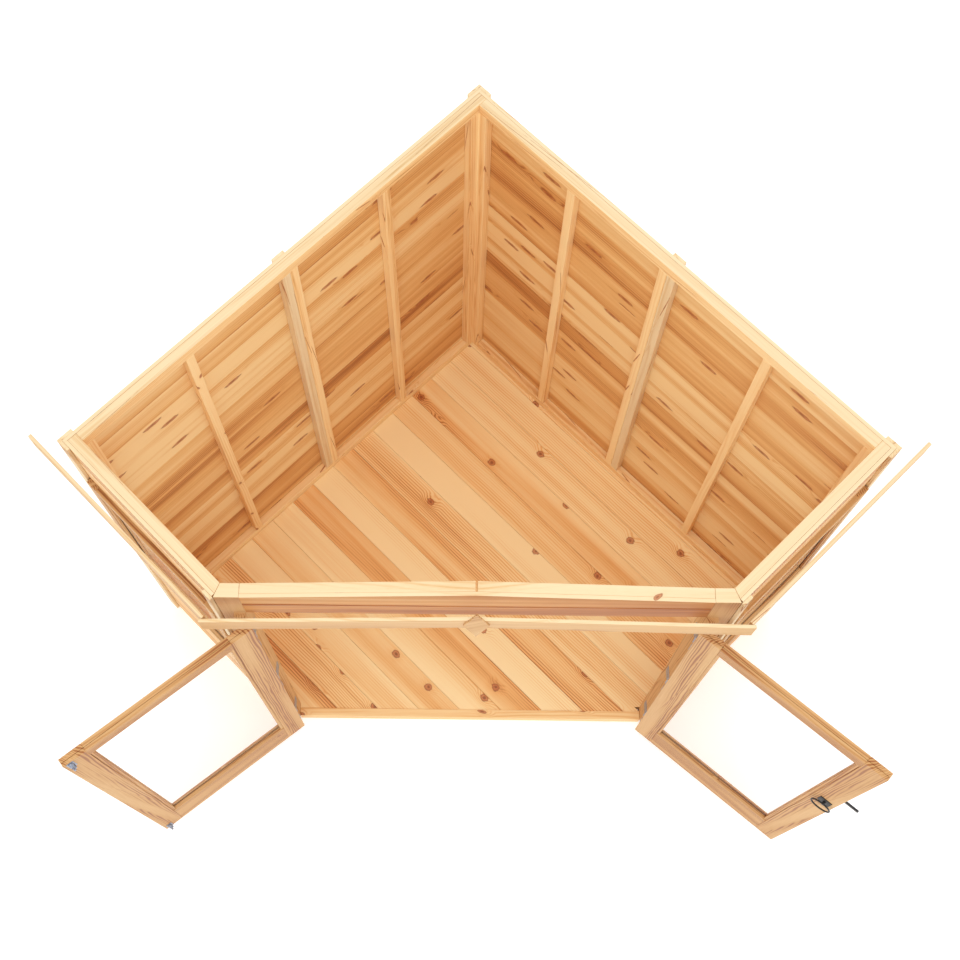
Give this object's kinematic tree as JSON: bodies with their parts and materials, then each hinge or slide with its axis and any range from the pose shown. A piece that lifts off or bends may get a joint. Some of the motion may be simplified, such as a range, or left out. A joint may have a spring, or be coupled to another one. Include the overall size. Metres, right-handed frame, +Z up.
{
  "type": "corner summerhouse",
  "caption": "Roofless timber corner summerhouse with a cut-off front, glazed double doors that swing out, side windows, boarded walls and floor, and fascia boards",
  "frame": {"origin": "on the ground, at the middle of the square whose front corner the plan cuts off", "axes": "+X to the right as seen from the doors, +Y back to the apex corner, +Z up"},
  "size_m": [2.8016, 2.3255, 2.012],
  "materials": {
    "pine_boards": "satin",
    "planed_pine": "satin",
    "glazing": "clear",
    "hinge_steel": "satin",
    "black_metal": "satin"
  },
  "bodies": {
    "root": {"apex_post": "planed_pine", "apex_trim": "planed_pine", "back_left_bottom_rail": "planed_pine", "back_left_cladding": "pine_boards", "back_left_cover_strip": "planed_pine", "back_left_stud_inner": "pine_boards", "back_left_stud_middle": "pine_boards", "back_left_stud_outer": "pine_boards", "back_left_top_rail": "planed_pine", "back_right_bottom_rail": "planed_pine", "back_right_cladding": "pine_boards", "back_right_cover_strip": "planed_pine", "back_right_stud_inner": "pine_boards", "back_right_stud_middle": "pine_boards", "back_right_stud_outer": "pine_boards", "back_right_top_rail": "planed_pine", "fascia_front_left": "planed_pine", "fascia_front_right": "planed_pine", "fascia_side_left": "planed_pine", "fascia_side_right": "planed_pine", "finial": "planed_pine", "floor_deck": "pine_boards", "front_header_cladding": "pine_boards", "front_left_post": "planed_pine", "front_left_top_rail": "planed_pine", "front_left_trim": "planed_pine", "front_right_post": "planed_pine", "front_right_top_rail": "planed_pine", "front_right_trim": "planed_pine", "left_corner_post": "planed_pine", "left_corner_trim": "planed_pine", "left_hinge_bottom": "hinge_steel", "left_hinge_middle": "hinge_steel", "left_hinge_top": "hinge_steel", "right_corner_post": "planed_pine", "right_corner_trim": "planed_pine", "right_hinge_bottom": "hinge_steel", "right_hinge_middle": "hinge_steel", "right_hinge_top": "hinge_steel", "side_left_bottom_rail": "planed_pine", "side_left_cladding_lower": "pine_boards", "side_left_cladding_upper": "pine_boards", "side_left_top_rail": "planed_pine", "side_left_window_frame": "planed_pine", "side_left_window_glass": "glazing", "side_right_bottom_rail": "planed_pine", "side_right_cladding_lower": "pine_boards", "side_right_cladding_upper": "pine_boards", "side_right_top_rail": "planed_pine", "side_right_window_frame": "planed_pine", "side_right_window_glass": "glazing", "threshold": "planed_pine"},
    "left_door": {"left_door_frame": "planed_pine", "left_door_glass": "glazing"},
    "right_door": {"right_door_frame": "planed_pine", "right_door_glass": "glazing"},
    "latch": {"latch": "black_metal"}
  },
  "joints": [
    {"name": "left_door_swing", "type": "hinge", "parent": "root", "child": "left_door", "pos_m": [-0.71046, -0.52405, 0.875], "axis": [0, 0, 1], "range_deg": [-20, 141.5]},
    {"name": "right_door_swing", "type": "hinge", "parent": "root", "child": "right_door", "pos_m": [0.71046, -0.52405, 0.875], "axis": [0, 0, 1], "range_deg": [-140.5, 20]},
    {"name": "latch_turn", "type": "hinge", "parent": "right_door", "child": "latch", "pos_m": [1.21392, -0.96499, 1.06], "axis": [-0.6361, -0.7716, 0], "range_deg": [0, 40]}
  ]
}
